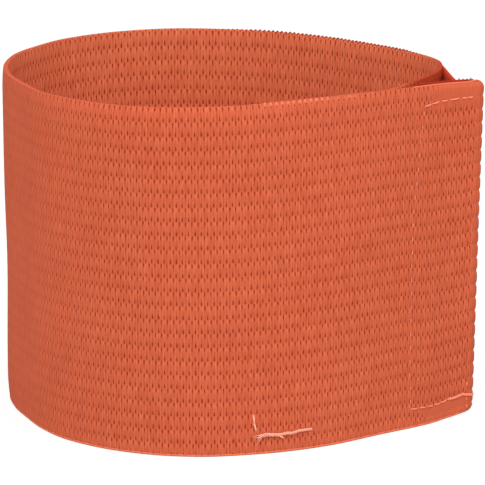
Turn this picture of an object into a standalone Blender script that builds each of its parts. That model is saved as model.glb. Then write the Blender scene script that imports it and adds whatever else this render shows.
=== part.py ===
"""Elastic armband standing on its lower edge.

A strip of ribbed woven elastic is rolled into an oval loop. Its outer end is a
flap at the right of the front, its inner end turns sharply at the right and
runs back under the front wall. A hook tape backs the flap, and a loop tape
crosses from the sharp turn to the hook tape.

X runs across the loop, Y from the front wall to the back wall, Z up.
"""
import bpy
import numpy as np

# Sizes of the band, in metres.
BAND_HEIGHT = 0.070
RIB_COUNT = 25
LOWEST_RIB_HEIGHT = 0.0032
TOP_RIB_HEIGHT = 0.0022
CROWN_THICKNESS = 0.0014
VALLEY_THICKNESS = 0.0009
EDGE_THICKNESS = 0.0011
FLAP_CORNER_RADIUS = 0.0022
FLAP_END_SLANT = 0.0009

# Size of the oval that the strip is rolled into.
LOOP_WIDTH = 0.0954
LOOP_DEPTH = 0.0852

# The closure tapes.
TAPE_THICKNESS = 0.0009
HOOK_TAPE_WIDTH = 0.0112

# Clearances.
LAYER_GAP = 0.00035
TAPE_END_INSET = 0.0012

# Cross-sections along the strip, how much closer they stand in bends, the
# steps between two rows of the plan when it is drawn as a smooth line, and the
# levels up a tape, which let it follow the twist of the flap.
BAND_STATIONS = 54
BEND_WEIGHT = 1.1
FINE_STEPS = 24
TAPE_LEVELS = 15

# The outer face of the strip seen from above, from the flap end round the front,
# the left side and the back to the sharp turn at the right.
# across: share of LOOP_WIDTH, to the right of the middle.
# deep: share of LOOP_DEPTH, behind the front of the loop.
# foot_back: how far the lower edge stands behind the upper one, share of LOOP_DEPTH.
# foot_up: how far the lower edge is off the floor, share of BAND_HEIGHT.
#    across   deep   foot_back foot_up
OUTER_FACE_SHARES = [
    (0.499, 0.305, 0.045, 0.013),
    (0.444, 0.290, 0.022, 0.000),
    (0.393, 0.263, -0.008, 0.000),
    (0.291, 0.191, -0.016, 0.000),
    (0.190, 0.126, -0.031, 0.000),
    (0.092, 0.066, -0.022, 0.000),
    (-0.004, 0.021, -0.007, 0.000),
    (-0.089, 0.002, 0.000, 0.000),
    (-0.185, 0.005, 0.012, 0.000),
    (-0.283, 0.045, 0.018, 0.000),
    (-0.371, 0.116, 0.022, 0.000),
    (-0.425, 0.187, 0.035, 0.000),
    (-0.459, 0.268, 0.036, 0.000),
    (-0.496, 0.370, 0.030, 0.000),
    (-0.513, 0.490, 0.012, 0.000),
    (-0.501, 0.640, 0.000, 0.000),
    (-0.459, 0.752, 0.000, 0.000),
    (-0.398, 0.856, 0.000, 0.000),
    (-0.290, 0.952, 0.000, 0.000),
    (-0.147, 1.000, 0.000, 0.000),
    (0.035, 0.966, 0.000, 0.000),
    (0.178, 0.879, 0.000, 0.000),
    (0.315, 0.739, 0.000, 0.000),
    (0.388, 0.640, 0.000, 0.000),
    (0.419, 0.560, 0.000, 0.000),
    (0.423, 0.480, 0.000, 0.000),
    (0.411, 0.410, 0.000, 0.000),
    (0.389, 0.350, -0.004, 0.000),
    (0.365, 0.305, -0.008, 0.000),
]

# Where the under layer lies against the front wall, as shares of LOOP_WIDTH.
UNDER_LAYER_RIGHT_SHARE = 0.305
UNDER_LAYER_LEFT_SHARE = 0.052

# The middle of the loop tape seen from above, with the same columns.
LOOP_TAPE_SHARES = [
    (0.431, 0.500, 0.000, 0.000),
    (0.450, 0.333, 0.028, 0.000),
]

# Colour (linear) and roughness of each piece.
ELASTIC_COLOUR = (0.650, 0.122, 0.054)
HOOK_TAPE_COLOUR = (0.330, 0.040, 0.022)
LOOP_TAPE_COLOUR = (0.360, 0.045, 0.024)
CLOTH_ROUGHNESS = 0.85


def smooth_line(rows, steps):
    """Curve through every row, with equal steps between rows."""
    points = np.array(rows, dtype=float)
    before = 2.0 * points[0] - points[1]
    after = 2.0 * points[-1] - points[-2]
    padded = np.vstack([before, points, after])
    line = []
    for index in range(1, len(padded) - 2):
        a, b, c, d = padded[index - 1:index + 3]
        for step in range(steps):
            t = step / steps
            line.append(0.5 * (2.0 * b + (c - a) * t
                               + (2.0 * a - 5.0 * b + 4.0 * c - d) * t ** 2
                               + (3.0 * b - a - 3.0 * c + d) * t ** 3))
    line.append(points[-1])
    return np.array(line)


def plan_metres(rows):
    """Rows of shares as positions and foot shifts in metres."""
    shares = np.array(rows, dtype=float)
    return shares * np.array([LOOP_WIDTH, LOOP_DEPTH, LOOP_DEPTH, BAND_HEIGHT])


def inward(line):
    """Unit direction towards the inside of the loop at each point of a line."""
    along = np.gradient(line[:, :2], axis=0)
    along /= np.linalg.norm(along, axis=1)[:, None]
    return np.column_stack([along[:, 1], -along[:, 0]])


def moved_inward(line, distance):
    """The same line moved towards the inside of the loop."""
    moved = line.copy()
    moved[:, :2] += inward(line) * distance
    return moved


def lengths_along(line):
    """Length from the start of a line to each of its points."""
    pieces = np.linalg.norm(np.diff(line[:, :2], axis=0), axis=1)
    return np.concatenate([[0.0], np.cumsum(pieces)])


def with_facing(line):
    """A line with the inward directions of its upper and lower edge added."""
    foot = line[:, :2].copy()
    foot[:, 1] += line[:, 2]
    return np.column_stack([line, inward(line), inward(foot)])


def picked(line, measure, wanted):
    """Points of a line where a measure that grows along it has the wanted values."""
    return np.column_stack([np.interp(wanted, measure, column) for column in line.T])


def bend_stations(line, count):
    """Pick stations on a line, closer together where the line bends."""
    length = lengths_along(line)
    along = np.gradient(line[:, :2], axis=0)
    heading = np.unwrap(np.arctan2(along[:, 1], along[:, 0]))
    turned = np.concatenate([[0.0], np.cumsum(np.abs(np.diff(heading)))])
    effort = length / length[-1] + BEND_WEIGHT * turned / turned[-1]
    return picked(with_facing(line), effort, np.linspace(0.0, effort[-1], count))


def stretch_of(stations, start, end):
    """The stations between two lengths along them, with new ones at both ends."""
    length = lengths_along(stations)
    inside = length[(length > start) & (length < end)]
    return picked(stations, length, np.concatenate([[start], inside, [end]]))


def front_stretch(line, right_share, left_share):
    """The part of the front wall's line between two positions across the loop."""
    front = line[:int(np.argmin(line[:, 0]))]
    right = right_share * LOOP_WIDTH
    left = left_share * LOOP_WIDTH
    keep = (front[:, 0] <= right) & (front[:, 0] >= left)
    return front[keep]


def whole_strip_line():
    """Outer face of the strip from the flap end to its hidden inner end."""
    outer = smooth_line(plan_metres(OUTER_FACE_SHARES), FINE_STEPS)
    under = moved_inward(outer, CROWN_THICKNESS + LAYER_GAP)
    under = front_stretch(under, UNDER_LAYER_RIGHT_SHARE, UNDER_LAYER_LEFT_SHARE)
    joined = np.vstack([plan_metres(OUTER_FACE_SHARES), under[::FINE_STEPS // 2]])
    strip = smooth_line(joined, FINE_STEPS)
    strip[:, 3] = np.maximum(strip[:, 3], 0.0)
    return strip


def rib_levels():
    """Heights up the strip and its thickness there: valleys, crowns and edges."""
    valleys = np.linspace(LOWEST_RIB_HEIGHT, BAND_HEIGHT - TOP_RIB_HEIGHT, RIB_COUNT - 1)
    levels = [(0.0, EDGE_THICKNESS), (valleys[0] / 2.0, CROWN_THICKNESS)]
    for lower, upper in zip(valleys[:-1], valleys[1:]):
        levels.append((lower, VALLEY_THICKNESS))
        levels.append(((lower + upper) / 2.0, CROWN_THICKNESS))
    levels.append((valleys[-1], VALLEY_THICKNESS))
    levels.append(((valleys[-1] + BAND_HEIGHT) / 2.0, CROWN_THICKNESS))
    levels.append((BAND_HEIGHT, EDGE_THICKNESS))
    return levels


def end_inset(height):
    """How far the flap's end is cut back at a height: its slant and round corners."""
    slant = FLAP_END_SLANT * (1.0 - height / BAND_HEIGHT)
    from_edge = min(height, BAND_HEIGHT - height)
    if from_edge >= FLAP_CORNER_RADIUS:
        return slant
    rise = FLAP_CORNER_RADIUS - from_edge
    return slant + FLAP_CORNER_RADIUS - np.sqrt(FLAP_CORNER_RADIUS ** 2 - rise ** 2)


def surface_point(station, height, depth):
    """A point of the strip at a height and a depth behind its outer face."""
    down = 1.0 - height / BAND_HEIGHT
    facing = station[4:6] * (1.0 - down) + station[6:8] * down
    facing /= np.linalg.norm(facing)
    place = station[:2] + facing * depth
    return np.array([place[0], place[1] + station[2] * down, height + station[3] * down])


def wall_object(name, stations, levels, middle_depth, cut_end, material):
    """A closed wall that follows stations in plan and has a thickness per level."""
    count = len(levels)
    vertices = []
    for index, station in enumerate(stations):
        outer_side = []
        inner_side = []
        for height, thickness in levels:
            outer = surface_point(station, height, middle_depth - thickness / 2.0)
            inner = surface_point(station, height, middle_depth + thickness / 2.0)
            if cut_end and index == 0:
                following = surface_point(stations[1], height, middle_depth)
                along = following - surface_point(station, height, middle_depth)
                shift = along * end_inset(height) / np.linalg.norm(along)
                outer = outer + shift
                inner = inner + shift
            outer_side.append(tuple(outer))
            inner_side.append(tuple(inner))
        vertices.extend(outer_side)
        vertices.extend(reversed(inner_side))
    ring = 2 * count
    faces = []
    for index in range(len(stations) - 1):
        near = index * ring
        far = near + ring
        for corner in range(ring):
            following = (corner + 1) % ring
            faces.append((near + corner, near + following, far + following, far + corner))
    last = (len(stations) - 1) * ring
    for level in range(count - 1):
        opposite = ring - 1 - level
        faces.append((level, opposite, opposite - 1, level + 1))
        faces.append((last + level, last + level + 1, last + opposite - 1, last + opposite))
    mesh = bpy.data.meshes.new(name)
    mesh.from_pydata(vertices, [], faces)
    mesh.validate()
    mesh.materials.append(material)
    wall = bpy.data.objects.new(name, mesh)
    bpy.context.scene.collection.objects.link(wall)
    return wall


def cloth_material(name, colour):
    """Plain cloth colour."""
    material = bpy.data.materials.new(name)
    material.use_nodes = True
    shader = material.node_tree.nodes["Principled BSDF"]
    shader.inputs["Base Color"].default_value = (*colour, 1.0)
    shader.inputs["Roughness"].default_value = CLOTH_ROUGHNESS
    return material


def elastic_band(stations):
    """The ribbed strip, one solid from the flap end to the hidden inner end."""
    material = cloth_material("elastic", ELASTIC_COLOUR)
    return wall_object("elastic_band", stations, rib_levels(),
                       CROWN_THICKNESS / 2.0, True, material)


def tape_levels():
    """Even heights up a plain tape, which is as tall as the band."""
    heights = np.linspace(0.0, BAND_HEIGHT, TAPE_LEVELS)
    return [(level, TAPE_THICKNESS) for level in heights]


def hook_tape(stations):
    """The tape sewn on the inner face of the flap, along the strip's own stations."""
    depth = CROWN_THICKNESS + LAYER_GAP + TAPE_THICKNESS / 2.0
    stations = stretch_of(stations, TAPE_END_INSET, TAPE_END_INSET + HOOK_TAPE_WIDTH)
    material = cloth_material("hook_tape", HOOK_TAPE_COLOUR)
    return wall_object("hook_tape", stations, tape_levels(), depth, False, material)


def loop_tape():
    """The tape that crosses from the sharp turn to the back of the hook tape."""
    stations = with_facing(plan_metres(LOOP_TAPE_SHARES))
    material = cloth_material("loop_tape", LOOP_TAPE_COLOUR)
    return wall_object("loop_tape", stations, tape_levels(), 0.0, False, material)


def centre_on_floor(pieces):
    """Move every piece so that the middle of the loop's foot is the origin."""
    corners = np.array([vertex.co[:] for piece in pieces for vertex in piece.data.vertices])
    low = corners.min(axis=0)
    high = corners.max(axis=0)
    middle = (low + high) / 2.0
    for piece in pieces:
        for vertex in piece.data.vertices:
            vertex.co[0] -= middle[0]
            vertex.co[1] -= middle[1]
            vertex.co[2] -= low[2]


def main():
    for item in list(bpy.data.objects):
        bpy.data.objects.remove(item, do_unlink=True)
    stations = bend_stations(whole_strip_line(), BAND_STATIONS)
    pieces = [elastic_band(stations), hook_tape(stations), loop_tape()]
    centre_on_floor(pieces)


main()
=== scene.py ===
import math
import random

import bpy
import numpy as np
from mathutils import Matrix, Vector


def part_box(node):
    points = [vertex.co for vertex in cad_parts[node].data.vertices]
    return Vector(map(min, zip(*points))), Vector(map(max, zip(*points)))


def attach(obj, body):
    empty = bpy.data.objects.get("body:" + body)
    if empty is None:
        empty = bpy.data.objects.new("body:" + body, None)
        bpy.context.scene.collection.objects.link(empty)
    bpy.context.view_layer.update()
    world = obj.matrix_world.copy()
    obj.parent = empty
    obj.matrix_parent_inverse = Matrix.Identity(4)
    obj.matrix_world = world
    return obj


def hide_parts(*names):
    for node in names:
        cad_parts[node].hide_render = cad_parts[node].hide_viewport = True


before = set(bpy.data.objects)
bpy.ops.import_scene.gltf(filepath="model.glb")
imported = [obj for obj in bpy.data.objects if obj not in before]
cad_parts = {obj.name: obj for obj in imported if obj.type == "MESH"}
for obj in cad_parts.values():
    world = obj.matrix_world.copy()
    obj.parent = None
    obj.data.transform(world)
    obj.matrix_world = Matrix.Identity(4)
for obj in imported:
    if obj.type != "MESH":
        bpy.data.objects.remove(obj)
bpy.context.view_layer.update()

# Sizes of the band, in metres.
BAND_HEIGHT = 0.070
CROWN_THICKNESS = 0.0014
LAYER_GAP = 0.00035
TAPE_THICKNESS = 0.0009
HOOK_TAPE_WIDTH = 0.0112
TAPE_END_INSET = 0.0012
TAPE_EDGE_ROUNDING = 0.00036
FLAP_END_SLANT = 0.0009
FLAP_OVERHANG = 0.0004
END_NOTCH = 0.00018
# Over what length along the strip the cut of the flap's end fades out.
FLAP_CUT_FADE = 0.006
# How far each corner of the flap is cut back along the strip, and over what height.
FLAP_TOP_CORNER = (0.0012, 0.0013)
FLAP_FOOT_CORNER = (0.0013, 0.0026)
LOOP_WIDTH = 0.0954
LOOP_DEPTH = 0.0852

# Ribs of the outer face, and the wider ones that the inner face shows: how many
# valleys, and how far the lowest and highest valley are from the edges.
OUTER_RIBS = {"valleys": 24, "lowest": 0.0026, "top": 0.0028}
INNER_RIBS = {"valleys": 21, "lowest": 0.0018, "top": 0.0036}
OUTER_GROOVE = 0.00007
INNER_GROOVE = 0.00004
CROWN_ROUNDNESS = 0.70
RIB_STEPS = (0.0, 0.07, 0.18, 0.38, 0.62, 0.82, 0.93)

# Spacing of the small slits, by length from the flap end.
#    along spacing
SLIT_SPACINGS = [
    (0.016, 0.00110),
    (0.018, 0.00116),
    (0.028, 0.00120),
    (0.038, 0.00125),
    (0.055, 0.00125),
    (0.070, 0.00119),
    (0.085, 0.00116),
    (0.130, 0.00120),
    (0.155, 0.00146),
    (0.190, 0.00146),
    (0.203, 0.00136),
    (0.250, 0.00134),
    (0.270, 0.00125),
]
# In the weave map the inner face starts at a rib number of its own, which no rib of
# the outer face reaches, and its slits are shifted. Plain rims take one middle value.
INNER_FACE_SHIFT = 0.37
INNER_RIB_OFFSET = 40.0
PLAIN_RIB = 12.5
PLAIN_COLUMN = 0.25

# Loops of the top edge, in millimetres. Each pair is the value of a flat loop and
# what is added to it where the loops stand out fully.
LOOP_RADII = (0.13, 0.25)
LOOP_RADIUS_JITTER = 0.02
LOOP_DROPS = (0.31, -0.17)
LOOP_DROP_JITTER = 0.03
LOOP_HALF_WIDTHS = (0.12, 0.10)
LOOP_LEGS = 0.50
LOOP_SLANT = 0.10
LOOP_END_TAPER = 0.7
# Where in its column of slits a loop stands.
LOOP_PLACE = 0.42
# How much the loops stand out.
#    along share
LOOP_PROMINENCE = [
    (0.000, 0.0),
    (0.010, 0.0),
    (0.014, 0.3),
    (0.034, 0.7),
    (0.036, 1.0),
    (0.049, 1.0),
    (0.050, 0.1),
    (0.060, 0.3),
    (0.090, 0.0),
    (0.150, 0.2),
    (0.190, 1.3),
    (0.245, 1.3),
    (0.250, 0.2),
]
# A thin cord along the rim of the flap: its two ends along the strip in metres, then
# its drop, its depth and its radius in millimetres.
RIM_CORD_ENDS = (0.0010, 0.0150)
RIM_CORD_DROP = 0.02
RIM_CORD_DEPTH = 0.50
RIM_CORD_RADIUS = 0.16
# The part of the top edge round the back, whose loops take a darker thread as painted shade,
# the spacing and radius of its loops in millimetres, and how far they stand out of the edge
# there.
BACK_EDGE = (0.135, 0.251)
BACK_LOOP_SPACING = 1.03
BACK_LOOP_RADIUS = 0.18
#    along millimetres
BACK_LOOP_RISES = [
    (0.198, -0.02),
    (0.207, 0.25),
]

# The cord of the lower edge in millimetres, and how near the ends of the strip, in
# metres, it starts and stops.
EDGE_CORD_RADIUS = 0.24
EDGE_CORD_DEPTH = 0.20
EDGE_CORD_STATIONS = 420
EDGE_CORD_MARGINS = (0.003, 0.001)

# How the top edge curls inwards.
EDGE_CURL = 0.0005
EDGE_CURL_HEIGHT = 0.005
#    along share_of_curl
EDGE_CURL_SHARES = [
    (0.02, 0.0),
    (0.06, 1.0),
    (0.09, 1.0),
    (0.11, 0.35),
    (0.14, 0.35),
    (0.17, 0.8),
    (0.23, 0.0),
]
# How the lower edge draws in at the left bend.
FOOT_CURL = 0.00042
FOOT_CURL_HEIGHT = 0.006
#    along share_of_curl
FOOT_CURL_SHARES = [
    (0.107, 0.0),
    (0.118, 1.0),
    (0.130, 1.0),
    (0.140, 0.0),
]
# How uneven the wall stands: a slow wave along and up it, and a quick slanting one.
WALL_UNEVENNESS = 0.00010
SLOW_WAVE = (0.0117, 0.0193)
QUICK_WAVE = (0.0053, 0.0081)
QUICK_WAVE_SHARE = 0.4
# How much higher or lower than the plain strip the worn top edge stands.
#    along rise
RIM_RISES = [
    (0.0012, 0.00015),
    (0.0030, -0.00020),
    (0.030, -0.00030),
    (0.085, -0.00030),
    (0.120, 0.00000),
    (0.160, 0.00012),
    (0.240, 0.00012),
    (0.255, 0.00000),
    (0.280, 0.00000),
    (0.288, -0.00050),
]
# The shallow hollow half way up the left side: how deep, how far along and how high
# its middle is, and its reach both ways.
SIDE_DENT = 0.00045
SIDE_DENT_PLACE = (0.124, 0.029)
SIDE_DENT_REACH = (0.016, 0.014)
# How much each face draws in towards the top edge, and over what height.
OUTER_THINNING = 0.00036
INNER_THINNING = 0.00034
THIN_EDGE_HEIGHT = 0.0034
# How far the worn cloth stands out from the plain strip, by length from the flap end.
#    along outwards
WORN_BULGES = [
    (0.230, 0.0000),
    (0.240, 0.0002),
    (0.258, 0.0009),
    (0.266, 0.0006),
    (0.274, 0.0000),
]
# How flat the ribs are drawn round the left bend.
#    along share
LEFT_BEND_FLATNESS = [
    (0.077, 0.00),
    (0.107, 0.75),
    (0.128, 0.75),
    (0.142, 0.00),
]
# The pressed hem at the flap's top edge: how far it reaches along and down, how near
# the edge it stops, and over what lengths it fades.
HEM_REACH = 0.0120
HEM_REACH_FADE = 0.0020
HEM_FOOT = 0.0661
HEM_MARGIN = 0.0002
HEM_HEIGHT_FADE = 0.0006
# Where the ribs of the flap sit lower: how far along, how near the edges they stop,
# and by how many millimetres at the top and more at the foot.
SAG_REACH = 0.0155
SAG_REACH_FADE = 0.0030
SAG_EDGE_FADE = 0.0026
SAG_AT_TOP = 0.2
SAG_MORE_AT_FOOT = 0.8

BAND_STATIONS = 240
BEND_WEIGHT = 0.5
FINE_STEPS = 24

# The outer face of the strip seen from above, from the flap end round the front,
# the left side and the back to the sharp turn at the right.
# across: share of LOOP_WIDTH, to the right of the middle.
# deep: share of LOOP_DEPTH, behind the front of the loop.
# foot_back: how far the lower edge stands behind the upper one, share of LOOP_DEPTH.
# foot_up: how far the lower edge is off the floor, share of BAND_HEIGHT.
#    across   deep   foot_back foot_up
OUTER_FACE_SHARES = [
    (0.499, 0.305, 0.045, 0.013),
    (0.444, 0.290, 0.022, 0.000),
    (0.393, 0.263, -0.008, 0.000),
    (0.291, 0.191, -0.016, 0.000),
    (0.190, 0.126, -0.031, 0.000),
    (0.092, 0.066, -0.022, 0.000),
    (-0.004, 0.021, -0.007, 0.000),
    (-0.089, 0.002, 0.000, 0.000),
    (-0.185, 0.005, 0.012, 0.000),
    (-0.283, 0.045, 0.018, 0.000),
    (-0.371, 0.116, 0.022, 0.000),
    (-0.425, 0.187, 0.035, 0.000),
    (-0.459, 0.268, 0.036, 0.000),
    (-0.496, 0.370, 0.030, 0.000),
    (-0.513, 0.490, 0.012, 0.000),
    (-0.501, 0.640, 0.000, 0.000),
    (-0.459, 0.752, 0.000, 0.000),
    (-0.398, 0.856, 0.000, 0.000),
    (-0.290, 0.952, 0.000, 0.000),
    (-0.147, 1.000, 0.000, 0.000),
    (0.035, 0.966, 0.000, 0.000),
    (0.178, 0.879, 0.000, 0.000),
    (0.315, 0.739, 0.000, 0.000),
    (0.388, 0.640, 0.000, 0.000),
    (0.419, 0.560, 0.000, 0.000),
    (0.423, 0.480, 0.000, 0.000),
    (0.411, 0.410, 0.000, 0.000),
    (0.389, 0.350, -0.004, 0.000),
    (0.365, 0.305, -0.008, 0.000),
]

# Where the under layer lies against the front wall, as shares of LOOP_WIDTH.
UNDER_LAYER_RIGHT_SHARE = 0.305
UNDER_LAYER_LEFT_SHARE = 0.052

# The middle of the loop tape seen from above, with the same columns.
LOOP_TAPE_SHARES = [
    (0.4245, 0.529, 0.000, 0.000),
    (0.4425, 0.333, 0.028, 0.000),
]

# Stitches that hold the hook tape to the flap, in millimetres. Lengths are from
# the flap end and heights from the floor.
#    from_along from_height to_along to_height thread_radius
TOP_STITCHES = [
    (12.6, 65.9, 10.9, 66.3, 0.17),
    (10.8, 66.3, 9.0, 66.6, 0.16),
    (8.6, 66.6, 7.1, 66.7, 0.16),
    (6.8, 66.7, 4.5, 66.9, 0.16),
    (4.1, 66.9, 3.1, 66.9, 0.17),
    (3.0, 66.9, 1.9, 66.8, 0.18),
]
BOTTOM_STITCHES = [
    (15.0, 4.0, 13.3, 3.9, 0.16),
    (12.8, 3.9, 11.3, 3.8, 0.15),
    (10.9, 3.8, 9.4, 3.8, 0.15),
    (9.2, 3.8, 7.8, 3.8, 0.15),
    (7.7, 3.8, 6.2, 4.0, 0.17),
    (6.2, 4.0, 2.7, 4.1, 0.30),
    (4.8, 3.9, 2.4, 4.2, 0.26),
    (2.9, 4.1, 0.3, 3.2, 0.30),
]
SIDE_STITCHES = [
    (1.9, 6.4, 1.9, 5.7, 0.18),
    (1.9, 3.2, 1.9, 2.5, 0.14),
    (1.9, 1.6, 1.8, 0.7, 0.12),
]
# The seam line where the hook tape ends shows as one short stitch in each valley.
#    height along
SEAM_LINE = [
    (66.0, 12.5),
    (58.8, 13.4),
    (53.0, 14.0),
    (45.0, 14.9),
    (34.0, 15.2),
    (22.0, 15.2),
    (11.2, 15.4),
    (4.0, 15.0),
]
SEAM_STITCH_RADIUS = 0.11
SEAM_STITCH_HALF_LENGTH = 0.55
SEAM_STITCH_LIFT = 0.15
SEAM_STITCH_RISE = 0.02
# How far in a stitch starts and ends, and how far it stands out, in millimetres.
STITCH_ROOT = 0.30
STITCH_RISE = 0.16

# The loose tack of thread low on the front, in millimetres: two upright stitches, a
# twisted thread that runs through points of along and height, and a short hook.
#    from_along from_height to_along to_height thread_radius rise
TACK_STITCHES = [
    (51.35, 8.2, 51.15, 6.2, 0.19, 0.16),
    (51.25, 6.6, 50.75, 4.7, 0.19, 0.12),
]
TACK_LINE = [
    (50.3, 3.7),
    (48.6, 4.0),
    (46.0, 3.7),
    (44.0, 3.9),
    (43.2, 3.75),
    (41.5, 4.1),
    (38.6, 4.1),
]
TACK_PLY_RADIUS = 0.16
TACK_TWIST_RADIUS = 0.24
TACK_TURNS = 7.0
TACK_HOOK = (46.4, 3.9, 44.8, 2.9, 0.19, 0.40)
# Loose hairs at the frayed end of the tack.
HAIR_COUNT = 7
HAIR_ROOT = (49.9, 3.7)
HAIR_RADIUS = 0.06

# Levels up a tape, and the relief of the two tapes in millimetres.
TAPE_LEVELS = 141
HOOK_TAPE_STATIONS = 40
LOOP_TAPE_STATIONS = 60
HOOK_TAPE_RELIEF = 0.03
LOOP_TAPE_RELIEF = 0.05

# Hooks on the tape, in millimetres: columns and rows on its face, then the teeth that
# stand on its top edge.
HOOK_COLUMNS = 9
HOOK_ROWS = 46
HOOK_COLUMN_START = 0.9
HOOK_COLUMN_STEP = 1.16
HOOK_ROW_START = 1.2
HOOK_ROW_STEP = 1.5
HOOK_STAGGER = 0.4
HOOK_RADIUS = 0.09
#    out lift
HOOK_PATH = [
    (-0.10, 0.00),
    (0.12, 0.02),
    (0.24, 0.14),
    (0.20, 0.30),
]
TOOTH_COLUMNS = 14
TOOTH_START = 0.5
TOOTH_STEP = 0.78
TOOTH_DEPTH = 0.35
TOOTH_RADII = (0.16, 0.15, 0.12, 0.08)

# Colours, linear. Each pair is the darkest and the lightest tone of a face.
CLOTH_COLOUR = (0.45, 0.085, 0.038)
OUTER_CLOTH_TONES = ((0.315, 0.037, 0.011), (0.575, 0.128, 0.062))
# The inner face's tones are lighter than the outer face's: partly its own colour, partly
# painted light that makes up for the shade inside the loop.
INNER_CLOTH_TONES = ((0.375, 0.055, 0.018), (0.69, 0.178, 0.086))
# The slits' dark colour is painted shade in their pits, which the bump alone does not darken.
SLIT_PAINTED_SHADE_COLOUR = (0.30, 0.012, 0.001)
TURN_SHADE_COLOUR = (0.34, 0.030, 0.010)
HOOK_TAPE_COLOUR = (0.27, 0.024, 0.009)
LOOP_TAPE_COLOUR = (0.50, 0.050, 0.017)
TAPE_GRAIN = 0.0005
FLOOR_COLOUR = (0.12, 0.12, 0.12)
FLOOR_GLOW = 0.86
#    colour, size of the fibres in metres, roughness, sheen
THREADS = {
    "edge_thread": ((0.60, 0.140, 0.074), 0.0003, 0.8, 0.02),
    # Painted shade: the loops round the back of the top edge take this darker thread.
    "painted_shade_edge_thread": ((0.27, 0.040, 0.016), 0.0003, 0.8, 0.02),
    "edge_cord_thread": ((0.62, 0.135, 0.068), 0.0003, 0.8, 0.02),
    "sewing_thread": ((0.70, 0.205, 0.125), 0.0002, 0.7, 0.05),
    "tack_thread": ((0.78, 0.33, 0.235), 0.0002, 0.7, 0.05),
}

# Slits in the weave map, in ribs and columns: where the teardrops above and below
# each valley start and stop, and their width.
SLIT_ABOVE = (0.016, 0.40)
SLIT_BELOW = (0.008, 0.38)
SLIT_HALF_WIDTH = 0.115
# Stretches along the strip where the look changes, each with the lengths over which
# it fades in and out: the plainer left bend, and the shade in the sharp turn.
LEFT_BEND_FADES = ((0.0765, 0.1077), (0.1428, 0.1303))
TURN_SHADE_FADES = ((0.2528, 0.2628), (0.2878, 0.2803))

# Soft lights: place, size in metres and power in watts. All point at one place.
LIGHT_AIM = (0.0, 0.0, 0.03)
SOFTBOXES = {
    "top_softbox": ((0.05, -0.25, 1.0), 1.0, 6.0),
    "right_softbox": ((0.90, -0.50, 0.90), 0.6, 3.6),
    "front_softbox": ((-0.28, -1.1, 0.80), 0.9, 9.6),
}
SURROUNDINGS_STRENGTH = 0.80
FLOOR_REACH = 6.0
FLOOR_DROP = 0.0001

# Camera: focal length in pixels of the 485 pixel wide photograph, downward
# angle, and place in the same plan as the tables, in metres.
PHOTO_WIDTH = 485
FOCAL_PIXELS = 3200.0
SENSOR_WIDTH_MM = 36.0
CAMERA_DOWN_DEGREES = 14.0
CAMERA_DISTANCE = 0.5984
CAMERA_HEIGHT = 0.1926

MM = 0.001


# The strip's line in plan.


def value_at(place, rows):
    """The value of a table of (place, value) rows at a place."""
    return float(np.interp(place, *zip(*rows)))


def share_within(distance, fade):
    """0 outside, 1 well inside, and evenly between over the length of the fade."""
    return min(1.0, max(0.0, distance / fade))


def smooth_line(rows, steps):
    """Curve through every row, with equal steps between rows."""
    points = np.array(rows, dtype=float)
    before = 2.0 * points[0] - points[1]
    after = 2.0 * points[-1] - points[-2]
    padded = np.vstack([before, points, after])
    line = []
    for index in range(1, len(padded) - 2):
        a, b, c, d = padded[index - 1:index + 3]
        for step in range(steps):
            t = step / steps
            line.append(0.5 * (2.0 * b + (c - a) * t
                               + (2.0 * a - 5.0 * b + 4.0 * c - d) * t ** 2
                               + (3.0 * b - a - 3.0 * c + d) * t ** 3))
    line.append(points[-1])
    return np.array(line)


def plan_metres(rows):
    """Rows of shares as positions and foot shifts in metres."""
    shares = np.array(rows, dtype=float)
    return shares * np.array([LOOP_WIDTH, LOOP_DEPTH, LOOP_DEPTH, BAND_HEIGHT])


def inward(line):
    """Unit direction towards the inside of the loop at each point of a line."""
    along = np.gradient(line[:, :2], axis=0)
    along /= np.linalg.norm(along, axis=1)[:, None]
    return np.column_stack([along[:, 1], -along[:, 0]])


def lengths_along(line):
    """Length from the start of a line to each of its points."""
    pieces = np.linalg.norm(np.diff(line[:, :2], axis=0), axis=1)
    return np.concatenate([[0.0], np.cumsum(pieces)])


def with_facing(line):
    """A line with the inward directions of its upper and lower edge added."""
    foot = line[:, :2].copy()
    foot[:, 1] += line[:, 2]
    return np.column_stack([line, inward(line), inward(foot)])


def whole_strip_line():
    """Outer face of the strip from the flap end to its hidden inner end."""
    outer = smooth_line(plan_metres(OUTER_FACE_SHARES), FINE_STEPS)
    under = outer.copy()
    under[:, :2] += inward(outer) * (CROWN_THICKNESS + LAYER_GAP)
    under = under[:int(np.argmin(under[:, 0]))]
    keep = ((under[:, 0] <= UNDER_LAYER_RIGHT_SHARE * LOOP_WIDTH)
            & (under[:, 0] >= UNDER_LAYER_LEFT_SHARE * LOOP_WIDTH))
    joined = np.vstack([plan_metres(OUTER_FACE_SHARES), under[keep][::FINE_STEPS // 2]])
    strip = smooth_line(joined, FINE_STEPS)
    strip[:, 3] = np.maximum(strip[:, 3], 0.0)
    return strip


STRIP = with_facing(whole_strip_line())
STRIP_LENGTHS = lengths_along(STRIP)
STRIP_LENGTH = float(STRIP_LENGTHS[-1])
START_HEADING = (STRIP[1, :2] - STRIP[0, :2]) / STRIP_LENGTHS[1]


def station_at(along):
    """Plan values of the strip at a length from the flap end, or a little before it."""
    station = np.array([np.interp(along, STRIP_LENGTHS, column) for column in STRIP.T])
    station[:2] += START_HEADING * min(along, 0.0)
    return station


def strip_stations(count):
    """Lengths from the flap end, closer together where the strip bends."""
    step = np.gradient(STRIP[:, :2], axis=0)
    heading = np.unwrap(np.arctan2(step[:, 1], step[:, 0]))
    turned = np.concatenate([[0.0], np.cumsum(np.abs(np.diff(heading)))])
    effort = STRIP_LENGTHS / STRIP_LENGTH + BEND_WEIGHT * turned / turned[-1]
    return np.interp(np.linspace(0.0, effort[-1], count), effort, STRIP_LENGTHS)


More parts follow.
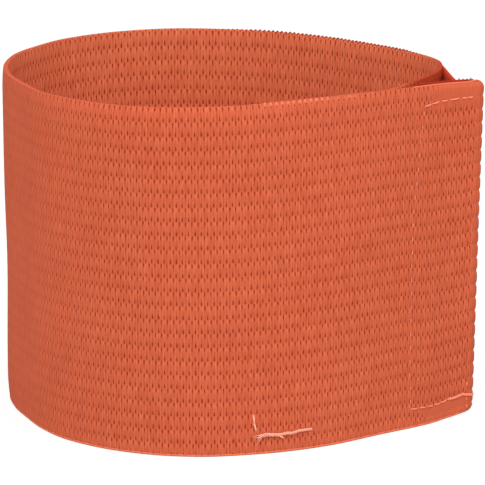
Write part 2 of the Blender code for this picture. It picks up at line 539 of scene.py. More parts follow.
def surface_point(station, height, depth):
    """A point at a height and a depth behind the strip's outer face."""
    down = 1.0 - height / BAND_HEIGHT
    facing = station[4:6] * (1.0 - down) + station[6:8] * down
    facing = facing / np.linalg.norm(facing)
    place = station[:2] + facing * depth
    lean = station[2] * down
    lift = station[3] * down
    return np.array([place[0], place[1] + lean, height + lift])


def plan_shift():
    """From the plan of the tables to the frame of the CAD solids."""
    places = []
    for along in np.linspace(0.0, STRIP_LENGTH, 1500):
        for height in (0.0, BAND_HEIGHT):
            places.append(surface_point(station_at(along), height, 0.0))
    places = np.array(places)
    middle = (places.min(axis=0) + places.max(axis=0)) / 2.0
    low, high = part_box("elastic_band")
    return np.array([(low[0] + high[0]) / 2.0 - middle[0],
                     (low[1] + high[1]) / 2.0 - middle[1], low[2]])


PLAN_SHIFT = plan_shift()


def wall_sway(along, height):
    """Small uneven sway of the wall, inwards and outwards."""
    slow = math.sin(along / SLOW_WAVE[0] + 1.3) * math.sin(height / SLOW_WAVE[1] + 0.4)
    quick = math.sin(along / QUICK_WAVE[0] + height / QUICK_WAVE[1] + 2.1)
    return WALL_UNEVENNESS * (slow + QUICK_WAVE_SHARE * quick)


def side_dent(along, height):
    """How deep the hollow of the left side is at a point."""
    across = (along - SIDE_DENT_PLACE[0]) / SIDE_DENT_REACH[0]
    up = (height - SIDE_DENT_PLACE[1]) / SIDE_DENT_REACH[1]
    return SIDE_DENT * math.exp(-across ** 2 - up ** 2)


def cloth_point(along, height, depth):
    """A point of the worn cloth: the plain strip with its curled edges and its sway."""
    curl = max(0.0, (height - BAND_HEIGHT + EDGE_CURL_HEIGHT) / EDGE_CURL_HEIGHT)
    curl = curl ** 2 * value_at(along, EDGE_CURL_SHARES)
    depth = depth + EDGE_CURL * curl + wall_sway(along, height) + side_dent(along, height)
    foot = max(0.0, 1.0 - height / FOOT_CURL_HEIGHT) ** 2
    depth += FOOT_CURL * foot * value_at(along, FOOT_CURL_SHARES)
    depth -= value_at(along, WORN_BULGES)
    height += value_at(along, RIM_RISES) * height / BAND_HEIGHT
    return surface_point(station_at(along), height, depth)


def end_inset(height):
    """How far the flap's end is cut back at a height: its slant and round corners."""
    slant = FLAP_END_SLANT * (1.0 - height / BAND_HEIGHT) - FLAP_OVERHANG
    from_edge = min(height, BAND_HEIGHT - height)
    reach, rise = FLAP_FOOT_CORNER if height < BAND_HEIGHT / 2.0 else FLAP_TOP_CORNER
    missing = max(0.0, 1.0 - from_edge / rise)
    return slant + reach * (1.0 - math.sqrt(1.0 - missing ** 2))


# Meshes.


def new_piece(name, vertices, faces, material):
    """A smooth mesh piece from plan coordinates, standing where the CAD solids do."""
    mesh = bpy.data.meshes.new(name)
    moved = np.asarray(vertices, dtype=float) + PLAN_SHIFT
    mesh.from_pydata(moved.tolist(), [], faces)
    mesh.materials.append(material)
    mesh.polygons.foreach_set("use_smooth", [True] * len(mesh.polygons))
    piece = bpy.data.objects.new(name, mesh)
    bpy.context.scene.collection.objects.link(piece)
    return piece


def rib_coordinate(ribs, height):
    """Height counted in ribs, a whole number in each valley."""
    span = BAND_HEIGHT - ribs["top"] - ribs["lowest"]
    return 1.0 + (height - ribs["lowest"]) / span * (ribs["valleys"] - 1)


def edge_thinning(height, most):
    """How much a face draws in where the cloth thins towards its top edge."""
    near = max(0.0, 1.0 - (BAND_HEIGHT - height) / THIN_EDGE_HEIGHT)
    return most * near ** 2


def face_levels(ribs, groove_depth, thinning):
    """Heights up one face and how deep the cloth is grooved there."""
    valleys = np.linspace(ribs["lowest"], BAND_HEIGHT - ribs["top"], ribs["valleys"])
    edges = np.concatenate([[0.0], valleys, [BAND_HEIGHT]])
    levels = []
    for lower, upper in zip(edges[:-1], edges[1:]):
        for share in RIB_STEPS:
            crown = math.sin(math.pi * share) ** CROWN_ROUNDNESS
            height = lower + (upper - lower) * share
            groove = groove_depth * (1.0 - crown) + edge_thinning(height, thinning)
            levels.append((height, groove))
    levels.append((BAND_HEIGHT, groove_depth + thinning))
    return levels


def counted_slits():
    """Even lengths along the strip and how many slits lie before each."""
    reach = np.linspace(0.0, STRIP_LENGTH, 4000)
    spacing = np.interp(reach, *zip(*SLIT_SPACINGS))
    passed = np.cumsum(np.diff(reach) / ((spacing[1:] + spacing[:-1]) / 2.0))
    return reach, np.concatenate([[0.0], passed])


SLIT_REACH, SLIT_COUNTS = counted_slits()


def slit_coordinate(along):
    """Length along the strip counted in slits."""
    return float(np.interp(along, SLIT_REACH, SLIT_COUNTS))


def end_faces(outer, inner, start, ring):
    """Triangles that close one end of the strip between its two faces."""
    faces = []
    near = 0
    far = 0
    while near < len(outer) - 1 or far < len(inner) - 1:
        outer_next = outer[near + 1][0] if near < len(outer) - 1 else math.inf
        inner_next = inner[far + 1][0] if far < len(inner) - 1 else math.inf
        first = start + near
        second = start + ring - 1 - far
        if outer_next <= inner_next:
            near += 1
            faces.append((first, second, start + near))
        else:
            far += 1
            faces.append((first, second, start + ring - 1 - far))
    return faces


def hem_share(along, height):
    """How flat the cloth is pressed between the flap's top edge and its top stitches."""
    beside = share_within(HEM_REACH - along, HEM_REACH_FADE)
    over = share_within(height - HEM_FOOT, HEM_HEIGHT_FADE)
    under = share_within(BAND_HEIGHT - HEM_MARGIN - height, HEM_HEIGHT_FADE)
    return beside * over * under


def flap_sag(along, height):
    """How much lower the ribs sit on the flap, where its cloth is drawn down."""
    beside = share_within(SAG_REACH - along, SAG_REACH_FADE)
    from_edge = min(1.0, min(height, BAND_HEIGHT - height) / SAG_EDGE_FADE)
    sag = SAG_AT_TOP + SAG_MORE_AT_FOOT * (1.0 - height / BAND_HEIGHT)
    return MM * beside * from_edge * sag


def end_notch(height):
    """How far the end of the flap draws back in each valley between two ribs."""
    swing = math.cos(2.0 * math.pi * rib_coordinate(OUTER_RIBS, height))
    return END_NOTCH * max(0.0, swing) ** 2


def band_piece(material):
    """The ribbed strip as one closed sheet of real thickness."""
    outer = face_levels(OUTER_RIBS, OUTER_GROOVE, OUTER_THINNING)
    inner = face_levels(INNER_RIBS, INNER_GROOVE, INNER_THINNING)
    ring = len(outer) + len(inner)
    vertices = []
    coordinates = []
    for along in strip_stations(BAND_STATIONS):
        across = slit_coordinate(along)
        cut = max(0.0, 1.0 - along / FLAP_CUT_FADE)
        upright = 1.0 - value_at(along, LEFT_BEND_FLATNESS)
        for height, groove in outer:
            start = along + cut * (end_inset(height) + end_notch(height))
            groove = groove * (1.0 - hem_share(along, height)) * upright
            place = height - flap_sag(along, height)
            vertices.append(cloth_point(start, place, groove))
            coordinates.append((across, rib_coordinate(OUTER_RIBS, height)))
        for height, groove in reversed(inner):
            start = along + cut * end_inset(height)
            vertices.append(cloth_point(start, height, CROWN_THICKNESS - groove))
            coordinates.append((across + INNER_FACE_SHIFT,
                                rib_coordinate(INNER_RIBS, height) + INNER_RIB_OFFSET))
    faces = []
    corners = []
    for near in range(0, (BAND_STATIONS - 1) * ring, ring):
        far = near + ring
        for corner in range(ring):
            following = (corner + 1) % ring
            quad = (near + corner, near + following, far + following, far + corner)
            at_edge = corner in (len(outer) - 1, ring - 1)
            faces.append(quad)
            corners.extend([(coordinates[vertex][0],
                             PLAIN_RIB if at_edge else coordinates[vertex][1])
                            for vertex in quad])
    last = (BAND_STATIONS - 1) * ring
    caps = end_faces(outer, inner, 0, ring)
    caps += [face[::-1] for face in end_faces(outer, inner, last, ring)]
    faces.extend(caps)
    corners.extend([(PLAIN_COLUMN, PLAIN_RIB)] * (3 * len(caps)))
    band = new_piece("band_cloth", vertices, faces, material)
    layer = band.data.uv_layers.new(name="weave")
    layer.data.foreach_set("uv", np.array(corners, dtype=float).ravel())
    return band


def tube_parts(path, radii, sides):
    """Vertices and faces of a round thread along a path, closed at both ends."""
    path = np.asarray(path, dtype=float)
    forward = np.gradient(path, axis=0)
    forward /= np.linalg.norm(forward, axis=1)[:, None]
    side = np.cross(forward[0], (0.0, 0.0, 1.0))
    if np.linalg.norm(side) < 0.2:
        side = np.cross(forward[0], (1.0, 0.0, 0.0))
    vertices = []
    for point, ahead, radius in zip(path, forward, radii):
        side = side - ahead * side.dot(ahead)
        side /= np.linalg.norm(side)
        over = np.cross(ahead, side)
        for step in range(sides):
            turn = 2.0 * math.pi * step / sides
            offset = side * math.cos(turn) + over * math.sin(turn)
            vertices.append(point + radius * offset)
    faces = []
    for near in range(0, (len(path) - 1) * sides, sides):
        far = near + sides
        for step in range(sides):
            following = (step + 1) % sides
            faces.append((near + step, near + following, far + following, far + step))
    start = (len(path) - 1) * sides
    faces.append(tuple(reversed(range(sides))))
    faces.append(tuple(range(start, start + sides)))
    return vertices, faces


def threads_piece(name, threads, material):
    """Many threads, each a path with its radii and number of sides, as one piece."""
    vertices = []
    faces = []
    for path, radii, sides in threads:
        start = len(vertices)
        more_vertices, more_faces = tube_parts(path, radii, sides)
        vertices.extend(more_vertices)
        faces.extend([tuple(start + corner for corner in face) for face in more_faces])
    return new_piece(name, vertices, faces, material)


def selvedge_piece(name, at_back, material):
    """Loops of weft that turn over the top edge, in front or round the back."""
    rng = random.Random(7)
    threads = []
    if at_back:
        lengths = np.arange(BACK_EDGE[0], BACK_EDGE[1], BACK_LOOP_SPACING * MM)
    else:
        columns = np.arange(1, int(SLIT_COUNTS[-1])) + LOOP_PLACE
        lengths = np.interp(columns, SLIT_COUNTS, SLIT_REACH)
        lengths = lengths[(lengths < BACK_EDGE[0]) | (lengths >= BACK_EDGE[1])]
    for along in lengths:
        proud = value_at(along, LOOP_PROMINENCE)
        radius = LOOP_RADII[0] + LOOP_RADII[1] * proud
        radius = MM * (radius + rng.uniform(-LOOP_RADIUS_JITTER, LOOP_RADIUS_JITTER))
        drop = LOOP_DROPS[0] + LOOP_DROPS[1] * proud
        drop = MM * (drop + rng.uniform(-LOOP_DROP_JITTER, LOOP_DROP_JITTER))
        top = BAND_HEIGHT - drop
        if at_back:
            radius = BACK_LOOP_RADIUS * MM
            top += value_at(along, BACK_LOOP_RISES) * MM
        half_width = MM * (LOOP_HALF_WIDTHS[0] + LOOP_HALF_WIDTHS[1] * proud)
        path = []
        for step in range(7):
            turn = math.pi * step / 6.0
            depth = CROWN_THICKNESS / 2.0 - half_width * math.cos(turn)
            height = top - LOOP_LEGS * MM * (1.0 - math.sin(turn))
            slant = LOOP_SLANT * MM * math.cos(turn)
            path.append(cloth_point(along + slant, height, depth))
        taper = LOOP_END_TAPER * radius
        threads.append((path, [taper] + [radius] * 5 + [taper], 8))
    if not at_back:
        path = [cloth_point(along, BAND_HEIGHT - RIM_CORD_DROP * MM, RIM_CORD_DEPTH * MM)
                for along in np.linspace(*RIM_CORD_ENDS, 30)]
        threads.append((path, [RIM_CORD_RADIUS * MM] * 30, 8))
    return threads_piece(name, threads, material)


def edge_cord_piece(material):
    """The thin cord that finishes the lower edge."""
    lengths = strip_stations(EDGE_CORD_STATIONS)
    near, far = EDGE_CORD_MARGINS
    lengths = lengths[(lengths > near) & (lengths < STRIP_LENGTH - far)]
    radius = EDGE_CORD_RADIUS * MM
    path = [cloth_point(along, 1.1 * radius, EDGE_CORD_DEPTH * MM) for along in lengths]
    radii = [radius * (1.0 + 0.10 * math.sin(index * 1.9)) for index in range(len(path))]
    return threads_piece("edge_cord", [(path, radii, 8)], material)


def stitch(from_along, from_height, to_along, to_height, radius, rise=STITCH_RISE):
    """One stitch that comes up through the cloth and goes down again."""
    path = []
    radii = []
    for step in range(9):
        share = step / 8.0
        arch = math.sin(math.pi * share) ** 0.5
        along = (from_along + (to_along - from_along) * share) * MM
        height = (from_height + (to_height - from_height) * share) * MM
        depth = MM * (STITCH_ROOT - (STITCH_ROOT + rise) * arch)
        path.append(cloth_point(along, height, depth))
        radii.append(MM * radius * (0.75 + 0.25 * arch))
    return path, radii, 8


def flap_stitch_piece(material):
    """The box of stitches that holds the hook tape on the flap."""
    threads = [stitch(*row) for row in TOP_STITCHES + BOTTOM_STITCHES + SIDE_STITCHES]
    count = OUTER_RIBS["valleys"]
    valleys = np.linspace(OUTER_RIBS["lowest"], BAND_HEIGHT - OUTER_RIBS["top"], count) / MM
    for valley in valleys[1:-1]:
        middle = valley + SEAM_STITCH_LIFT
        along = value_at(middle, SEAM_LINE[::-1])
        threads.append(stitch(along, middle + SEAM_STITCH_HALF_LENGTH,
                              along, middle - SEAM_STITCH_HALF_LENGTH,
                              SEAM_STITCH_RADIUS, SEAM_STITCH_RISE))
    return threads_piece("flap_stitches", threads, material)


def plied_thread(points, ply_radius, twist_radius, turns, plies=3):
    """Plies twisted round a line of (along, height) points on the cloth."""
    points = np.array(points, dtype=float)
    pieces = np.linalg.norm(np.diff(points, axis=0), axis=1)
    lengths = np.concatenate([[0.0], np.cumsum(pieces)])
    threads = []
    for ply in range(plies):
        path = []
        radii = []
        for share in np.linspace(0.0, 1.0, 70):
            along = np.interp(share * lengths[-1], lengths, points[:, 0])
            height = np.interp(share * lengths[-1], lengths, points[:, 1])
            turn = 2.0 * math.pi * (turns * share + ply / plies)
            swell = twist_radius * (1.0 - 0.35 * share)
            out = swell * (1.0 + math.sin(turn)) + 0.05
            path.append(cloth_point(along * MM, (height + swell * math.cos(turn)) * MM,
                                    -out * MM))
            radii.append(ply_radius * MM * (1.0 - 0.3 * share))
        threads.append((path, radii, 7))
    return threads


def tack_piece(material):
    """The loose tack of thread low on the front, with frayed and hooked ends."""
    rng = random.Random(11)
    threads = [stitch(*row) for row in TACK_STITCHES]
    threads += plied_thread(TACK_LINE, TACK_PLY_RADIUS, TACK_TWIST_RADIUS, TACK_TURNS)
    threads.append(stitch(*TACK_HOOK))
    for hair in range(HAIR_COUNT):
        start = np.array([HAIR_ROOT[0] + rng.uniform(-0.5, 0.3),
                          HAIR_ROOT[1] + rng.uniform(-0.3, 0.3)])
        end = start + np.array([rng.uniform(0.5, 1.6), rng.uniform(-0.8, 0.6)])
        path = []
        for share in np.linspace(0.0, 1.0, 6):
            along, height = start + (end - start) * share
            path.append(cloth_point(along * MM, (height - 0.3 * share ** 2) * MM,
                                    -MM * (0.15 + 0.25 * math.sin(2.4 * share))))
        threads.append((path, [HAIR_RADIUS * MM] * 6, 5))
    return threads_piece("tack_stitches", threads, material)


def tape_wall(name, stations, bump, material):
    """A closed tape wall through stations of plan values, with fine relief."""
    levels = np.linspace(0.0, BAND_HEIGHT, TAPE_LEVELS)
    ring = 2 * len(levels)
    vertices = []
    for index, (station, outer_depth) in enumerate(stations):
        for side, heights in ((0, levels), (1, levels[::-1])):
            for height in heights:
                relief = bump(index, height) if 1 < index < len(stations) - 2 else 0.0
                near_top = max(0.0, 1.0 - (BAND_HEIGHT - height) / MM)
                relief += TAPE_EDGE_ROUNDING * near_top ** 2
                depth = outer_depth + (TAPE_THICKNESS - relief if side else relief)
                vertices.append(surface_point(station, height, depth))
    faces = []
    for near in range(0, (len(stations) - 1) * ring, ring):
        far = near + ring
        for corner in range(ring):
            following = (corner + 1) % ring
            faces.append((near + corner, near + following, far + following, far + corner))
    last = (len(stations) - 1) * ring
    for level in range(len(levels) - 1):
        opposite = ring - 1 - level
        faces.append((level, opposite, opposite - 1, level + 1))
        faces.append((last + level, last + level + 1, last + opposite - 1, last + opposite))
    return new_piece(name, vertices, faces, material)


def hook_tape_piece(material):
    """The woven tape behind the flap that carries the hooks."""
    depth = CROWN_THICKNESS + LAYER_GAP
    lengths = np.linspace(TAPE_END_INSET, TAPE_END_INSET + HOOK_TAPE_WIDTH,
                          HOOK_TAPE_STATIONS)
    stations = [(station_at(along), depth) for along in lengths]

    def bump(index, height):
        weave = math.sin(index * 1.6) * math.sin(height / 0.00022)
        return HOOK_TAPE_RELIEF * MM * (1.0 + weave)

    return tape_wall("hook_tape_cloth", stations, bump, material)


def hooks_piece(material):
    """Short hooks in rows on the inner face of the hook tape and along its top edge."""
    rng = random.Random(3)
    threads = []
    depth = CROWN_THICKNESS + LAYER_GAP + TAPE_THICKNESS
    for column in range(HOOK_COLUMNS):
        along = TAPE_END_INSET + (HOOK_COLUMN_START + HOOK_COLUMN_STEP * column) * MM
        for row in range(HOOK_ROWS):
            height = (HOOK_ROW_START + HOOK_ROW_STEP * row) * MM
            height += rng.uniform(-0.1, 0.1) * MM
            station = station_at(along + (HOOK_STAGGER * MM if row % 2 else 0.0))
            path = [surface_point(station, height + lift * MM, depth + out * MM)
                    for out, lift in HOOK_PATH]
            threads.append((path, [HOOK_RADIUS * MM] * 4, 5))
    for column in range(TOOTH_COLUMNS):
        along = TAPE_END_INSET + (TOOTH_START + TOOTH_STEP * column) * MM
        station = station_at(along)
        reach = rng.uniform(0.16, 0.34)
        path = [surface_point(station, BAND_HEIGHT + lift * MM, depth - TOOTH_DEPTH * MM)
                for lift in (-0.2, 0.1 * reach, 0.6 * reach, reach)]
        threads.append((path, [radius * MM for radius in TOOTH_RADII], 6))
    return threads_piece("tape_hooks", threads, material)


def loop_tape_piece(material):
    """The soft looped tape between the sharp turn and the hook tape."""
    ends = with_facing(plan_metres(LOOP_TAPE_SHARES))
    stations = []
    for share in np.linspace(0.0, 1.0, LOOP_TAPE_STATIONS):
        stations.append((ends[0] * (1.0 - share) + ends[1] * share, -TAPE_THICKNESS / 2.0))

    def bump(index, height):
        pile = math.sin(index * 2.3 + height / 0.0006) * math.sin(height / 0.00031 + index)
        return LOOP_TAPE_RELIEF * MM * (1.0 + pile)

    return tape_wall("loop_tape_cloth", stations, bump, material)


# Materials.


class Graph:
    """Short ways to add shader nodes to one material."""

    def __init__(self, name, colour, roughness):
        self.material = bpy.data.materials.new(name)
        self.material.use_nodes = True
        self.tree = self.material.node_tree
        self.shader = self.tree.nodes["Principled BSDF"]
        self.shader.inputs["Base Color"].default_value = (*colour, 1.0)
        self.shader.inputs["Roughness"].default_value = roughness

    def link(self, source, target):
        self.tree.links.new(source, target)

    def feed(self, socket, value):
        if isinstance(value, (int, float)):
            socket.default_value = value
        else:
            self.link(value, socket)

    def math(self, operation, first, second=0.0, third=0.0, clamp=False):
        node = self.tree.nodes.new("ShaderNodeMath")
        node.operation = operation
        node.use_clamp = clamp
        for socket, value in zip(node.inputs, (first, second, third)):
            self.feed(socket, value)
        return node.outputs[0]

    def total(self, *values):
        result = values[0]
        for value in values[1:]:
            result = self.math("ADD", result, value)
        return result

    def product(self, *values):
        result = values[0]
        for value in values[1:]:
            result = self.math("MULTIPLY", result, value)
        return result

    def step(self, value, low, high):
        """0 below low and 1 above high, smoothly between; low may be the higher."""
        node = self.tree.nodes.new("ShaderNodeMapRange")
        node.interpolation_type = "SMOOTHSTEP"
        if low <= high:
            limits = (low, high, 0.0, 1.0)
        else:
            limits = (high, low, 1.0, 0.0)
        self.feed(node.inputs[0], value)
        for socket, limit in zip(node.inputs[1:5], limits):
            socket.default_value = limit
        return node.outputs[0]

    def vector(self, x, y, z=0.0):
        node = self.tree.nodes.new("ShaderNodeCombineXYZ")
        for socket, value in zip(node.inputs, (x, y, z)):
            self.feed(socket, value)
        return node.outputs[0]

    def weave(self):
        """The two coordinates of the map that is counted in slits and ribs."""
        node = self.tree.nodes.new("ShaderNodeUVMap")
        node.uv_map = "weave"
        parts = self.tree.nodes.new("ShaderNodeSeparateXYZ")
        self.link(node.outputs[0], parts.inputs[0])
        return parts.outputs[0], parts.outputs[1]

    def place(self, scale):
        """Object coordinates in units of scale metres."""
        node = self.tree.nodes.new("ShaderNodeTexCoord")
        mapping = self.tree.nodes.new("ShaderNodeMapping")
        self.link(node.outputs["Object"], mapping.inputs["Vector"])
        mapping.inputs["Scale"].default_value = [1.0 / value for value in scale]
        return mapping.outputs[0]

    def noise(self, vector, detail=2.0, scale=1.0):
        """Soft noise from about -1 to 1."""
        node = self.tree.nodes.new("ShaderNodeTexNoise")
        node.inputs["Scale"].default_value = scale
        node.inputs["Detail"].default_value = detail
        self.link(vector, node.inputs["Vector"])
        return self.math("MULTIPLY_ADD", node.outputs["Fac"], 4.0, -2.0)

    def chance(self, vector):
        """A random number from 0 to 1 for each cell."""
        node = self.tree.nodes.new("ShaderNodeTexWhiteNoise")
        node.noise_dimensions = "3D"
        self.link(vector, node.inputs["Vector"])
        return node.outputs["Value"]

    def blend(self, share, first, second):
        """Mix of two colours, each a socket or a triple."""
        node = self.tree.nodes.new("ShaderNodeMix")
        node.data_type = "RGBA"
        self.feed(node.inputs["Factor"], share)
        for name, value in (("A", first), ("B", second)):
            socket = [item for item in node.inputs
                      if item.name == name and item.type == "RGBA"][0]
            if isinstance(value, tuple):
                socket.default_value = (*value, 1.0)
            else:
                self.link(value, socket)
        return [item for item in node.outputs if item.type == "RGBA"][0]

    def brighter(self, colour, amount):
        """A colour times a number."""
        node = self.tree.nodes.new("ShaderNodeVectorMath")
        node.operation = "SCALE"
        if isinstance(colour, tuple):
            node.inputs[0].default_value = colour
        else:
            self.link(colour, node.inputs[0])
        self.feed(node.inputs["Scale"], amount)
        return node.outputs[0]

    def stretch(self, u, fades):
        """1 over a stretch of the strip, smoothly down to 0 at both of its ends."""
        fade_in, fade_out = fades
        return self.product(
            self.step(u, slit_coordinate(fade_in[0]), slit_coordinate(fade_in[1])),
            self.step(u, slit_coordinate(fade_out[0]), slit_coordinate(fade_out[1])))

    def finish(self, colour, height):
        """Use a colour and a height in millimetres on the shader."""
        self.link(colour, self.shader.inputs["Base Color"])
        bump = self.tree.nodes.new("ShaderNodeBump")
        bump.inputs["Strength"].default_value = 1.0
        bump.inputs["Distance"].default_value = MM
        self.link(height, bump.inputs["Height"])
        self.link(bump.outputs[0], self.shader.inputs["Normal"])
        return self.material


def soft_sheen(graph, weight, roughness, tint):
    """A little cloth sheen, the same all over."""
    graph.shader.inputs["Sheen Weight"].default_value = weight
    graph.shader.inputs["Sheen Roughness"].default_value = roughness
    graph.shader.inputs["Sheen Tint"].default_value = (*tint, 1.0)
    graph.shader.inputs["Specular IOR Level"].default_value = 0.04


def slit_row(graph, u, v, shift, side, ends):
    """One row of teardrop slits beside each valley, above it or below it."""
    start, stop = ends
    rib = graph.math("ROUND", v)
    from_valley = graph.math("MULTIPLY", graph.math("SUBTRACT", v, rib), side)
    column = graph.math("ROUND", graph.math("ADD", u, shift))
    cell = graph.chance(graph.vector(column, rib, 1.7 + side))
    off = graph.math("SUBTRACT", graph.math("ADD", u, shift), column)
    off = graph.math("ADD", off, graph.math("MULTIPLY_ADD", cell, 0.12, -0.06))
    share = graph.math("MULTIPLY_ADD", from_valley, 1.0 / (stop - start),
                       -start / (stop - start))
    swell = graph.math("POWER", graph.math("MAXIMUM", share, 0.0), 0.5)
    reach = graph.math("MULTIPLY", swell, graph.math("SUBTRACT", 1.0, share))
    spread = graph.math("MULTIPLY_ADD", cell, 0.5, 0.75)
    reach = graph.product(reach, spread, 2.6 * SLIT_HALF_WIDTH)
    inside = graph.math("MULTIPLY", graph.math("SUBTRACT", reach, graph.math("ABSOLUTE", off)),
                        18.0, clamp=True)
    fade = graph.math("MULTIPLY_ADD", share, -0.5, 1.0, clamp=True)
    return graph.math("MULTIPLY", inside, fade)


def elastic_material():
    """Ribbed woven elastic: slits beside each valley, warp threads and fibres."""
    graph = Graph("elastic_weave", CLOTH_COLOUR, 0.9)
    soft_sheen(graph, 0.01, 0.4, (1.0, 0.5, 0.3))
    u, v = graph.weave()
    lining = graph.step(v, 29.0, 30.0)
    outside = graph.math("SUBTRACT", 1.0, lining)
    above = slit_row(graph, u, v, 0.0, 1.0, SLIT_ABOVE)
    below = slit_row(graph, u, v, 0.5, -1.0, SLIT_BELOW)
    slits = graph.math("MAXIMUM", above, below)
    top_hem = graph.product(graph.step(v, 23.6, 23.75), graph.step(u, 10.5, 8.5))
    low_hem = graph.product(graph.step(v, 1.6, 1.4), graph.step(u, 11.5, 9.5))
    hem = graph.math("MAXIMUM", top_hem, low_hem)
    hem = graph.math("MAXIMUM", hem, graph.step(u, 1.3, 0.9))
    left_bend = graph.stretch(u, LEFT_BEND_FADES)
    plainer = graph.math("MAXIMUM", hem, graph.product(left_bend, 0.60))
    relief = graph.math("SUBTRACT", 1.0, graph.product(plainer, outside))
    slits = graph.product(slits, relief)
    from_valley = graph.math("SUBTRACT", v, graph.math("ROUND", v))
    from_column = graph.math("ABSOLUTE", graph.math("SUBTRACT", u, graph.math("ROUND", u)))
    # Painted highlight: the upper part of each rib just below a valley, between the slits of
    # the lower row, is made lighter to stand in for light from above.
    lens = graph.product(graph.step(from_valley, -0.02, -0.09),
                         graph.step(from_valley, -0.44, -0.2),
                         graph.step(from_column, 0.34, 0.18))
    half = graph.math("MULTIPLY", u, 2.0)
    between = graph.math("ABSOLUTE", graph.math("SUBTRACT", half, graph.math("ROUND", half)))
    seam = graph.step(between, 0.22, 0.04)
    fibres = graph.noise(graph.vector(graph.product(u, 4.2), graph.product(v, 1.3), 0.3))
    streaks = graph.noise(graph.vector(graph.product(u, 2.0), graph.product(v, 0.55), 4.1), 1.0)
    broad = graph.noise(graph.vector(graph.product(u, 0.09), graph.product(v, 0.22), 8.3), 1.0)
    # The tone adds the painted rib highlight (lens) to the fibres, streaks and seams.
    varied = graph.total(graph.product(fibres, 0.20), graph.product(streaks, 0.10),
                         graph.product(seam, -0.17), graph.product(lens, 0.15))
    calm = graph.math("MAXIMUM", graph.product(left_bend, 0.45), graph.product(hem, 0.6))
    calmer = graph.math("SUBTRACT", 1.0, graph.product(calm, outside))
    # Painted shade: the inner face is made darker lower down, deeper inside the loop, where
    # less light reaches.
    deep = graph.product(graph.step(v, 61.0, 54.0), lining)
    tone = graph.total(0.58, graph.product(broad, 0.04), graph.product(varied, calmer),
                       graph.product(deep, -0.22))
    tone = graph.math("MAXIMUM", graph.math("MINIMUM", tone, 1.0), 0.0)
    outer_cloth = graph.blend(tone, *OUTER_CLOTH_TONES)
    inner_cloth = graph.blend(tone, *INNER_CLOTH_TONES)
    cloth = graph.blend(lining, outer_cloth, inner_cloth)
    shade = graph.product(graph.stretch(u, TURN_SHADE_FADES), outside)
    cloth = graph.blend(graph.product(shade, 0.8), cloth, TURN_SHADE_COLOUR)
    # The slits take a dark colour: painted shade in their pits.
    colour = graph.blend(graph.product(slits, 0.95), cloth, SLIT_PAINTED_SHADE_COLOUR)
    height = graph.total(graph.product(slits, -0.16), graph.product(seam, -0.03),
                         graph.product(fibres, 0.02), graph.product(streaks, 0.02))
    return graph.finish(colour, height)


def thread_material(name):
    """Twisted thread with fine fibres."""
    colour, fibre_scale, roughness, sheen = THREADS[name]
    graph = Graph(name, colour, roughness)
    soft_sheen(graph, sheen, 0.35, (1.0, 0.85, 0.8))
    fibres = graph.noise(graph.place((fibre_scale, fibre_scale, fibre_scale)))
    light = graph.math("MULTIPLY_ADD", fibres, 0.10, 1.0)
    return graph.finish(graph.brighter(colour, light), graph.product(fibres, 0.03))


def tape_material(name, colour):
    """Dense plain tape cloth."""
    graph = Graph(name, colour, 0.9)
    soft_sheen(graph, 0.02, 0.5, (1.0, 0.5, 0.4))
    grain = graph.noise(graph.place((TAPE_GRAIN, TAPE_GRAIN, 1.6 * TAPE_GRAIN)), 3.0)
    broad = graph.noise(graph.place((0.004, 0.004, 0.006)), 1.0)
    light = graph.total(1.0, graph.product(grain, 0.18), graph.product(broad, 0.05))
    return graph.finish(graph.brighter(colour, light), graph.product(grain, 0.09))


def floor_material():
    """Matt white paper that glows a little, with a faint tooth."""
    graph = Graph("floor_paper", FLOOR_COLOUR, 0.95)
    grain = graph.noise(graph.place((0.002, 0.002, 0.002)))
    light = graph.math("MULTIPLY_ADD", grain, 0.004, 1.0)
    graph.shader.inputs["Specular IOR Level"].default_value = 0.1
    graph.shader.inputs["Emission Color"].default_value = (1.0, 1.0, 1.0, 1.0)
    graph.shader.inputs["Emission Strength"].default_value = FLOOR_GLOW
    return graph.finish(graph.brighter(FLOOR_COLOUR, light), graph.product(grain, 0.01))


# Room and camera.


def floor_piece():
    """A large even floor under the band."""
    mesh = bpy.data.meshes.new("floor")
    level = float(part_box("elastic_band")[0][2]) - FLOOR_DROP
    corners = [(-FLOOR_REACH, -FLOOR_REACH, level), (FLOOR_REACH, -FLOOR_REACH, level),
               (FLOOR_REACH, FLOOR_REACH, level), (-FLOOR_REACH, FLOOR_REACH, level)]
    mesh.from_pydata(corners, [], [(0, 1, 2, 3)])
    mesh.materials.append(floor_material())
    floor = bpy.data.objects.new("floor", mesh)
    bpy.context.scene.collection.objects.link(floor)


def area_light(name, place, size, power):
    """A square soft light that points from a place to the shared aim."""
    data = bpy.data.lights.new(name, "AREA")
    data.size = size
    data.energy = power
    light = bpy.data.objects.new(name, data)
    bpy.context.scene.collection.objects.link(light)
    towards = Vector(LIGHT_AIM) - Vector(place)
    light.rotation_euler = towards.to_track_quat("-Z", "Y").to_euler()
    light.location = place


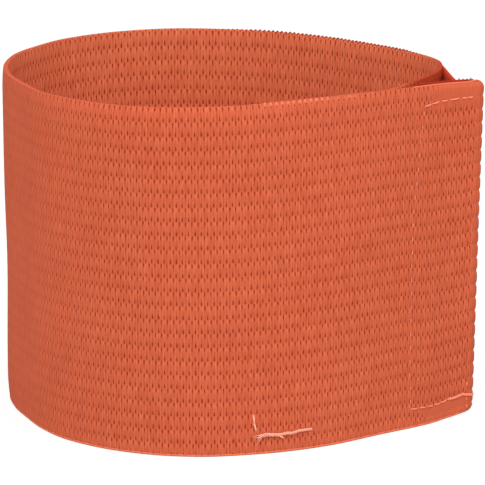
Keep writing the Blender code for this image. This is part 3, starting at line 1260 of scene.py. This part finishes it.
def studio():
    """Even white surroundings with soft lights above, in front and to the right."""
    world = bpy.data.worlds.new("studio")
    world.use_nodes = True
    background = world.node_tree.nodes["Background"]
    background.inputs["Color"].default_value = (1.0, 1.0, 1.0, 1.0)
    background.inputs["Strength"].default_value = SURROUNDINGS_STRENGTH
    bpy.context.scene.world = world
    for name, (place, size, power) in SOFTBOXES.items():
        area_light(name, place, size, power)
    scene = bpy.context.scene
    scene.view_settings.view_transform = "Standard"
    scene.view_settings.look = "None"


def photo_camera():
    """A camera at the photograph's angle and distance."""
    data = bpy.data.cameras.new("camera")
    data.sensor_fit = "HORIZONTAL"
    data.sensor_width = SENSOR_WIDTH_MM
    data.lens = FOCAL_PIXELS / PHOTO_WIDTH * SENSOR_WIDTH_MM
    data.clip_start = 0.01
    data.clip_end = 50.0
    camera = bpy.data.objects.new("camera", data)
    camera.location = (float(PLAN_SHIFT[0]), float(PLAN_SHIFT[1]) - CAMERA_DISTANCE,
                       float(PLAN_SHIFT[2]) + CAMERA_HEIGHT)
    camera.rotation_euler = (math.radians(90.0 - CAMERA_DOWN_DEGREES), 0.0, 0.0)
    bpy.context.scene.collection.objects.link(camera)
    bpy.context.scene.camera = camera


def main():
    hook_cloth = tape_material("hook_tape_weave", HOOK_TAPE_COLOUR)
    band = band_piece(elastic_material())
    selvedge = selvedge_piece("top_selvedge", False, thread_material("edge_thread"))
    back_selvedge = selvedge_piece("back_selvedge", True,
                                   thread_material("painted_shade_edge_thread"))
    cord = edge_cord_piece(thread_material("edge_cord_thread"))
    stitches = flap_stitch_piece(thread_material("sewing_thread"))
    tack = tack_piece(thread_material("tack_thread"))
    hook_tape = hook_tape_piece(hook_cloth)
    hooks = hooks_piece(hook_cloth)
    loop_tape = loop_tape_piece(tape_material("loop_tape_weave", LOOP_TAPE_COLOUR))

    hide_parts("elastic_band")
    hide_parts("hook_tape")
    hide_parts("loop_tape")
    slots = {
        "elastic": (band, selvedge, back_selvedge, cord, stitches, tack),
        "hook_tape": (hook_tape, hooks),
        "loop_tape": (loop_tape,),
    }
    for slot_name, pieces in slots.items():
        for piece in pieces:
            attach(piece, "root")

    floor_piece()
    studio()
    photo_camera()


main()
